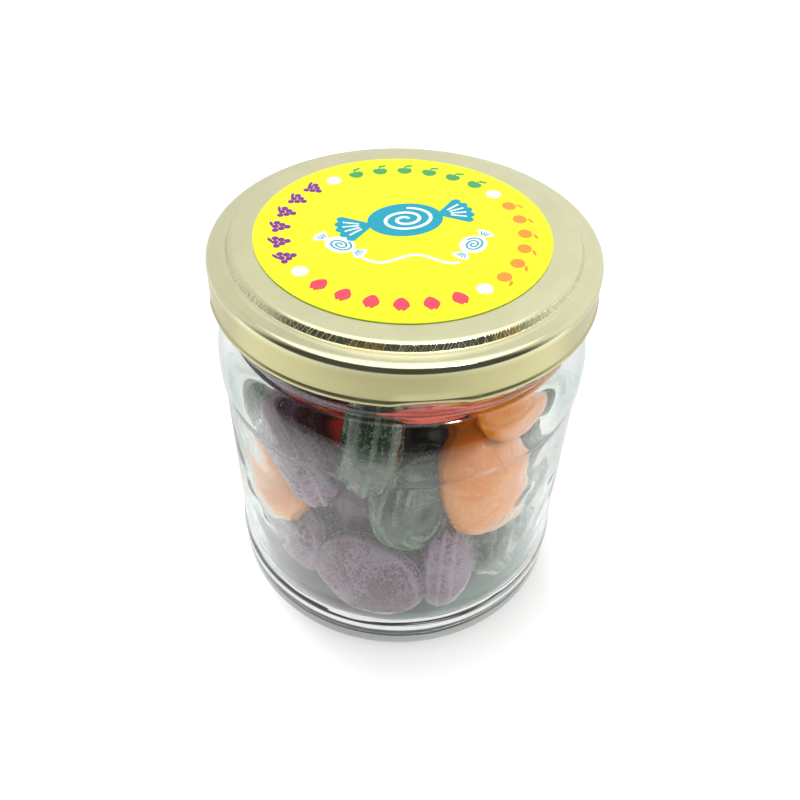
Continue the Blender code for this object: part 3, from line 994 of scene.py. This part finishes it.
RINGS = 66
SIDES = 108
RELIEF_SEED = 900


def smooth(value, low, high):
    share = np.clip((value - low) / (high - low), 0.0, 1.0)
    return share * share * (3.0 - 2.0 * share)


def lattice_bumps(x, y, spacing, kept=1.0):
    """Round berries in staggered rows, or a share of them: 1 on a berry's top, 0 between berries."""
    best = np.zeros_like(x)
    for shift in (0.0, 0.5):
        row = np.round(y / (spacing * 0.866) / 2.0 - shift) * 2.0 + 2.0 * shift
        near_y = row * spacing * 0.866
        near_x = (np.round(x / spacing - shift) + shift) * spacing
        away = np.hypot(x - near_x, y - near_y) / (spacing * 0.5)
        chance = np.mod(np.sin(near_x * 12.99 + near_y * 78.23) * 437.5, 1.0)
        best = np.maximum(best, np.sqrt(np.clip(1.0 - away * away * 0.85, 0.0, 1.0)) * (chance < kept))
    return best


def wandering(x, y, z, phase):
    """A slow uneven field between about -1 and 1, different for each sweet."""
    first = np.sin(3.1 * x + 1.3 * y + phase[0]) * np.cos(2.7 * y - 1.1 * z + phase[1])
    second = np.sin(5.3 * y - 3.7 * x + 2.0 * z + phase[2]) * np.cos(4.9 * x + phase[3])
    return 0.62 * first + 0.38 * second


def relief(kind, x, y, z, around, phase):
    """Height in mm, and raised, which is 1 on ridges and 0 in grooves, over a sweet."""
    half = SWEET_SIZE[kind]
    out = np.hypot(x, y)
    on_face = smooth(np.abs(z), 0.10, 0.34)
    seam = 1.0 - smooth(np.abs(z), 0.03, 0.10)
    drift = wandering(x, y, z, phase)
    if kind == "grape":
        berries = lattice_bumps(x * half[0], y * half[1], 4.3)
        pits = lattice_bumps(x * half[0] + 0.5 * drift, y * half[1] + 0.3 * drift, 1.5, 0.6)
        strip = smooth(y + 0.15 * drift, 0.18, 0.34) * (1.0 - smooth(y + 0.15 * drift, 0.60, 0.72))
        pitted = math.cos(phase[5]) > 0.1
        pits = smooth(pits, 0.55, 0.95) * strip * (1.0 - smooth(out, 0.82, 0.92)) * pitted
        height = 0.20 * (berries - 0.6) * on_face * (1.0 - 0.5 * smooth(out, 0.80, 0.95)) - 0.28 * pits
        rim = np.exp(-(((out - 0.93) / 0.035) ** 2))
        height += 0.20 * seam + 0.16 * rim
        raised = 0.50 + 0.12 * (berries - 0.5) * on_face + 0.22 * drift
        raised = raised + 0.35 * seam + 0.35 * rim - 0.9 * pits
        return height, raised
    if kind == "apple":
        notch = 1.0 - 0.22 * np.exp(-((np.abs(around) / 0.45) ** 2))
        lobe = 0.62 * (1.0 + 0.10 * np.cos(2.0 * around)) * notch
        level = out / lobe + 0.10 * drift
        lines = np.zeros_like(x)
        for edge, wide, shift in ((1.16, 0.075, 0.0), (0.80, 0.06, 1.3)):
            broken = smooth(np.sin(2.0 * around + shift + 2.2 * drift), -0.7, 0.4)
            lines = np.maximum(lines, broken * np.exp(-(((level - edge) / wide) ** 2)))
        flutes = smooth(np.sin(7.48 * x + 1.4 * drift + phase[4]), 0.55, 0.95)
        flutes = flutes * smooth(0.75 - out, 0.0, 0.3)
        rim = np.exp(-(((out - 0.90) / 0.03) ** 2))
        rib = 0.5 + 0.5 * np.cos(26.0 * around)
        waist = 1.0 - smooth(np.abs(z), 0.22, 0.36)
        height = (0.34 * lines + 0.2 * flutes) * on_face + 0.16 * rim + 0.12 * rib * waist + 0.25 * seam
        raised = 0.28 + 0.18 * drift + (0.6 * lines + 0.35 * flutes) * on_face + 0.5 * rim
        return height, raised + 0.25 * rib * waist + 0.5 * seam
    if kind == "mandarin":
        part = np.abs(np.cos(5.0 * around))
        groove = np.exp(-((part / 0.22) ** 2)) * smooth(out, 0.18, 0.5)
        navel = np.exp(-((out / 0.24) ** 2)) * on_face
        height = -0.18 * groove - 0.25 * navel + 0.12 * seam
        return height, 0.5 - 0.25 * groove - 0.3 * navel + 0.3 * seam + 0.1 * drift
    row = np.floor(np.abs(z) * 5.0)
    pips = np.cos(9.0 * around + row * math.pi) * np.cos(math.pi * (np.abs(z) * 5.0 - row - 0.5))
    pips = smooth(pips, 0.45, 0.95)
    crown = smooth(x, 0.55, 0.75) * (0.6 + 0.4 * np.cos(7.0 * np.arctan2(z, y)))
    height = -0.32 * pips * (1.0 - crown) + 0.4 * crown * on_face + 0.15 * seam
    return height, 0.45 - 0.35 * pips + 0.4 * crown + 0.35 * seam


def sweet_points(kind, draw):
    """Local points in millimetres and the raised value of one sweet, ring by ring between its two poles."""
    half = np.array(SWEET_SIZE[kind])
    along = np.linspace(0.0, math.pi, RINGS + 1)
    around = np.linspace(-math.pi, math.pi, SIDES, endpoint=False)
    along, around = np.meshgrid(along, around, indexing="ij")
    ring = np.sin(along).clip(0.0) ** FULLNESS
    z = np.cos(along)
    x, y = ring * np.cos(around), ring * np.sin(around)
    if kind == "mandarin":
        scale = 1.0 + 0.03 * np.cos(5.0 * around)
        x, y = x * scale, y * scale
    if kind == "strawberry":
        y = y * (1.0 - 0.28 * x)
    if kind == "apple":
        z = z * (1.0 - 0.25 * (1.0 - np.sin(along)) ** 2)
    phase = [draw.uniform(0.0, math.tau) for _ in range(6)]
    height, raised = relief(kind, x, y, z, around, phase)
    spots = np.stack((x, y, z), axis=-1)
    way = spots / half
    way /= np.linalg.norm(way, axis=-1, keepdims=True)
    points = spots * half
    # Slight unevenness, as each sweet is pressed while it is still soft.
    uneven = (
        np.sin(2.1 * x + phase[0]) * np.cos(1.7 * y + phase[1])
        + 0.6 * np.sin(3.3 * y + 2.0 * z + phase[2])
        + 0.4 * np.cos(4.1 * x - 1.5 * z + phase[3])
    )
    bend = draw.uniform(-0.5, 0.5)
    points = points + way * (height + 0.16 * uneven - 0.35)[..., None]
    points[..., 2] += bend * (x * x - 0.4)
    return points, raised.clip(0.0, 1.0)


def make_sweets(kind, slots, material):
    """Every sweet of one kind as a single mesh, with the attributes that its material reads."""
    spots, faces, raised_values, batch_values = [], [], [], []
    for number, middle, axes in slots:
        draw = random.Random(RELIEF_SEED + number)
        points, raised = sweet_points(kind, draw)
        world = points @ axes.T + middle
        base = len(spots)
        spots.append(tuple(world[0, 0]))
        raised_values.append(float(raised[0, 0]))
        for ring in range(1, RINGS):
            spots.extend(map(tuple, world[ring]))
            raised_values.extend(raised[ring].tolist())
        spots.append(tuple(world[RINGS, 0]))
        raised_values.append(float(raised[RINGS, 0]))
        batch = draw.random()
        batch_values.extend([batch] * (len(spots) - base))

        def index(ring, side, base=base):
            return base + 1 + (ring - 1) * SIDES + side % SIDES

        last = base + 1 + (RINGS - 1) * SIDES
        for side in range(SIDES):
            on = side + 1
            faces.append((base, index(1, side), index(1, on)))
            faces.append((last, index(RINGS - 1, on), index(RINGS - 1, side)))
            for ring in range(1, RINGS - 1):
                below = ring + 1
                faces.append((index(ring, side), index(below, side), index(below, on), index(ring, on)))
    mesh = bpy.data.meshes.new(f"sweets_{kind}")
    mesh.from_pydata([(x * MM, y * MM, z * MM) for x, y, z in spots], [], faces)
    for name, values in (("raised", raised_values), ("batch", batch_values)):
        mesh.attributes.new(name, "FLOAT", "POINT").data.foreach_set("value", values)
    mesh.materials.append(material)
    mesh.shade_smooth()
    outward_faces(mesh)
    return keep(in_scene(f"sweets_{kind}", mesh), "sweets")


def grain_tree():
    """Scatters small crystals over a skin, more of them where 'raised' is high."""
    tree, given = new_tree(
        "scattered_grains", Skin="Geometry", Density="Float", Size="Float", Seed="Int", Finish="Material"
    )
    raised = add(tree, "GeometryNodeInputNamedAttribute", {"Name": "raised"}, data_type="FLOAT").outputs[0]
    here = add(tree, "GeometryNodeInputPosition").outputs[0]
    patch = add(tree, "ShaderNodeTexNoise", {"Vector": here, "Scale": 150.0, "Detail": 2.0}).outputs[0]
    share = times(ramp(patch, 0.38, 0.64), plus(raised, 0.15))
    inputs = {"Mesh": given["Skin"], "Density": times(given["Density"], share), "Seed": given["Seed"]}
    points = add(tree, "GeometryNodeDistributePointsOnFaces", inputs).outputs[0]
    inputs = {"Segments": 4, "Rings": 2, "Radius": given["Size"]}
    crystal = add(tree, "GeometryNodeMeshUVSphere", inputs).outputs[0]

    def drawn(low, high, seed):
        inputs = {0: low, 1: high, "Seed": seed}
        return add(tree, "FunctionNodeRandomValue", inputs, data_type="FLOAT_VECTOR").outputs[0]

    spin = drawn((0.0, 0.0, 0.0), (6.28, 6.28, 6.28), 3)
    inputs = {
        "Points": points,
        "Instance": crystal,
        "Rotation": add(tree, "FunctionNodeEulerToRotation", {0: spin}).outputs[0],
        "Scale": drawn((0.45, 0.4, 0.3), (1.25, 1.1, 0.8), 7),
    }
    grains = add(tree, "GeometryNodeInstanceOnPoints", inputs).outputs[0]
    return end_tree(tree, grains, given["Finish"])


def make_grains(skins):
    """Sugar crystals on the outer sides of the sweets."""
    material, tree, shader = finish(
        "sugar_crystal", Roughness=0.35, IOR=1.5, Subsurface_Weight=0.5, Subsurface_Scale=0.001
    )
    tint = noise(place(tree), 0.5)
    wire(shader, Base_Color=blend(tint, (0.50, 0.50, 0.50), (0.72, 0.72, 0.72)))
    shell = bmesh.new()
    for skin in skins:
        shell.from_mesh(skin.data)
    inner = [vert for vert in shell.verts if math.hypot(vert.co.x, vert.co.y) < GRAIN_START * MM]
    bmesh.ops.delete(shell, geom=inner, context="VERTS")
    grains = run_tree(
        "sugar_grains",
        grain_tree(),
        in_scene("skin", as_mesh("skin", shell)),
        Density=GRAIN_DENSITY,
        Size=GRAIN_RADIUS * MM,
        Seed=SEED,
        Finish=material,
    )
    return keep(grains, "sweets")


def make_heap():
    finishes = {kind: make_sugar(f"{kind}_sugar", *tones) for kind, tones in SUGARS.items()}
    placed = placed_sweets()
    kinds = {kind: [] for kind in SWEET_SIZE}
    for number, ((kind, _, axes, _), middle) in enumerate(zip(placed, settled(placed))):
        kinds[kind].append((number, middle, axes))
    for number, (kind, azimuth, height, distance) in enumerate(HIDDEN_SWEETS):
        middle = outward(azimuth) * distance + np.array((0.0, 0.0, height))
        kinds[kind].append((HIDDEN_FROM + number, middle, turned_axes(azimuth, 40.0, 15.0 * number)))
    skins = {kind: make_sweets(kind, slots, finishes[kind]) for kind, slots in kinds.items()}
    make_grains([skins["grape"], skins["apple"]])


# The studio: a white table, soft light all round, and darkness in front beyond the table's edge.

def seen_in_a_mirror(tree):
    """1 for light that reaches the eye by way of a reflection."""
    bounces = add(tree, "ShaderNodeLightPath").outputs["Glossy Depth"]
    return calc("GREATER_THAN", bounces, 0.5)


def make_table():
    bpy.ops.mesh.primitive_plane_add(size=1.0)
    table = bpy.context.object
    table.name = "table_top"
    spread = Matrix.Translation((0.0, TABLE_FRONT + TABLE_DEPTH / 2.0, 0.0))
    table.data.transform(spread @ Matrix.Diagonal((TABLE_WIDTH, TABLE_DEPTH, 1.0, 1.0)))
    material, tree, shader = finish("white_table", Roughness=0.6, Emission_Color=(1.0, 1.0, 1.0, 1.0))
    mirrored = seen_in_a_mirror(tree)
    path = add(tree, "ShaderNodeLightPath").outputs
    where = place(tree)
    across, depth, _ = split_up(where)

    # Painted shadow: a dim patch under the jar, tinted a little with the colours of the sweets above it. It
    # is smaller where it is seen past the glass.
    away = add(tree, "ShaderNodeVectorMath", {0: where}, operation="LENGTH").outputs["Value"]
    away = plus(away, times(path["Is Camera Ray"], 7.0))
    white = blend(noise(where, 0.02), (0.84, 0.84, 0.84), (0.88, 0.88, 0.88))
    cast = blend(ramp(across, -16.0, 14.0), (0.36, 0.31, 0.36), (0.29, 0.36, 0.33))
    white = blend(ramp(away, 41.0, 30.0), white, cast)

    # Painted shade in reflections: there the table is a darker grey, and it glows dim in front of the jar,
    # paler beside it, and dim again behind it.
    beside = ramp(depth, -60.0, -15.0, 0.50, 0.60)
    beside = minus(beside, ramp(depth, -8.0, 18.0, 0.0, 0.42))
    shown = calc("MINIMUM", beside, ramp(depth, -106.0, -90.0, 0.08, 1.0))
    # Painted light and shadow: the table glows, from nothing under the jar to its full glow further out, and
    # less where it is seen through the glass.
    past_glass = minus(1.0, times(path["Is Transmission Ray"], 0.75))
    lit = times(ramp(away, 26.0, 54.0, 0.0, 0.38), past_glass)
    wire(
        shader,
        Base_Color=blend(mirrored, white, (0.45, 0.45, 0.45)),
        Emission_Strength=mix(mirrored, lit, shown),
    )
    table.data.materials.append(material)


def make_world():
    world = bpy.data.worlds.new("studio")
    scene.world = world
    world.use_nodes = True
    tree = world.node_tree
    x, y, z = split_up(add(tree, "ShaderNodeTexCoord").outputs["Generated"])

    # Seen in reflections: a bright ceiling panel, a pale back and sides, a dark front.
    front = times(ramp(y, 0.10, -0.45), ramp(z, 0.92, 0.80))
    wall = minus(ramp(x, -0.5, 0.5, 0.76, 0.92), ramp(z, 0.60, 0.78, -0.08, 0.04))
    shown = plus(mix(front, wall, 0.08), ramp(z, 0.74, 0.90, 0.0, 1.2))

    # Lights the jar: a soft dome, white from the camera and, through the glass, paler at the back.
    path = add(tree, "ShaderNodeLightPath").outputs
    soft = plus(ramp(z, -0.2, 1.0, 0.50, 0.80), times(path["Is Camera Ray"], 0.8))
    soft = mix(path["Is Transmission Ray"], soft, ramp(y, -0.1, 0.55, 0.30, 1.15))
    background = tree.nodes["Background"]
    wire(background, Strength=mix(seen_in_a_mirror(tree), soft, shown))
    background.inputs["Color"].default_value = (1.0, 1.0, 1.0, 1.0)


def make_lamps():
    for name, spot, size, power, mirrored in LAMPS:
        lamp = bpy.data.lights.new(name, "AREA")
        lamp.shape = "RECTANGLE"
        lamp.size, lamp.size_y = size
        lamp.energy = power
        holder = in_scene(name, lamp)
        holder.location = spot
        aim = Vector((0.0, 0.0, 0.04)) - holder.location
        holder.rotation_euler = aim.to_track_quat("-Z", "Y").to_euler()
        holder.visible_camera = False
        holder.visible_glossy = mirrored


def set_light_paths():
    scene.view_settings.view_transform = "Standard"
    scene.cycles.max_bounces = 20
    scene.cycles.transmission_bounces = 16
    scene.cycles.glossy_bounces = 8
    scene.cycles.transparent_max_bounces = 24
    scene.cycles.caustics_reflective = False
    scene.cycles.sample_clamp_indirect = 6.0


def make_camera():
    cos, sin = math.cos(CAMERA_PITCH), math.sin(CAMERA_PITCH)
    ahead, rise, side = np.array((0.0, cos, -sin)), np.array((0.0, sin, cos)), np.array((1.0, 0.0, 0.0))
    right = side * math.cos(CAMERA_ROLL) + rise * math.sin(CAMERA_ROLL)
    up = rise * math.cos(CAMERA_ROLL) - side * math.sin(CAMERA_ROLL)
    lens = bpy.data.cameras.new("camera")
    lens.sensor_width = 36.0
    lens.lens = CAMERA_LENS
    lens.clip_start = 0.005
    camera = in_scene("camera", lens)
    turn = Matrix(np.column_stack((right, up, -ahead)).tolist()).to_4x4()
    camera.matrix_world = Matrix.Translation(CAMERA_SPOT) @ turn
    scene.camera = camera


turning = turning_tree()
make_jar(turning, make_glass())
make_lid(turning, make_gold())
make_label(ring_tree())
make_heap()
make_table()
make_world()
make_lamps()
set_light_paths()
make_camera()
